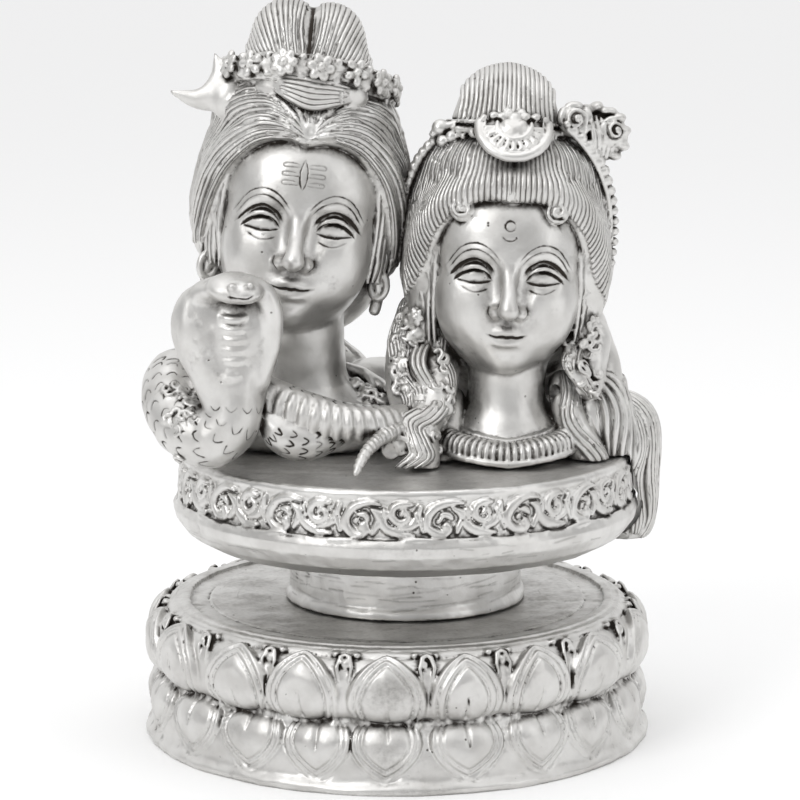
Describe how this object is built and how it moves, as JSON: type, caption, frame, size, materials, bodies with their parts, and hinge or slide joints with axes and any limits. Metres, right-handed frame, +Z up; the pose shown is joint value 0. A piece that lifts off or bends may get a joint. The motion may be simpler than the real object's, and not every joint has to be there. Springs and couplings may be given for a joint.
{
  "type": "silver devotional statue",
  "caption": "Cast silver devotional statue: paired busts with a cobra, on a round footed dish over a double lotus plinth.",
  "frame": {"origin": "middle of the lotus plinth's flat underside, which stands on the shelf", "axes": "+Z up, faces look along -Y, +X to the viewer's right"},
  "size_m": [0.1275, 0.1257, 0.1786],
  "materials": {
    "silver_antiqued": "silver-tone casting, polished on the high spots with dark patina in the carved lines",
    "silver_polished": "polished silver-tone metal, turned and lightly scratched, darkened scrollwork",
    "silver_satin": "satin silver-tone metal, polished petals with dark patina between them"
  },
  "bodies": {
    "root": {"busts_with_cobra": "silver_antiqued", "footed_dish": "silver_polished", "lotus_plinth": "silver_satin"}
  },
  "joints": []
}
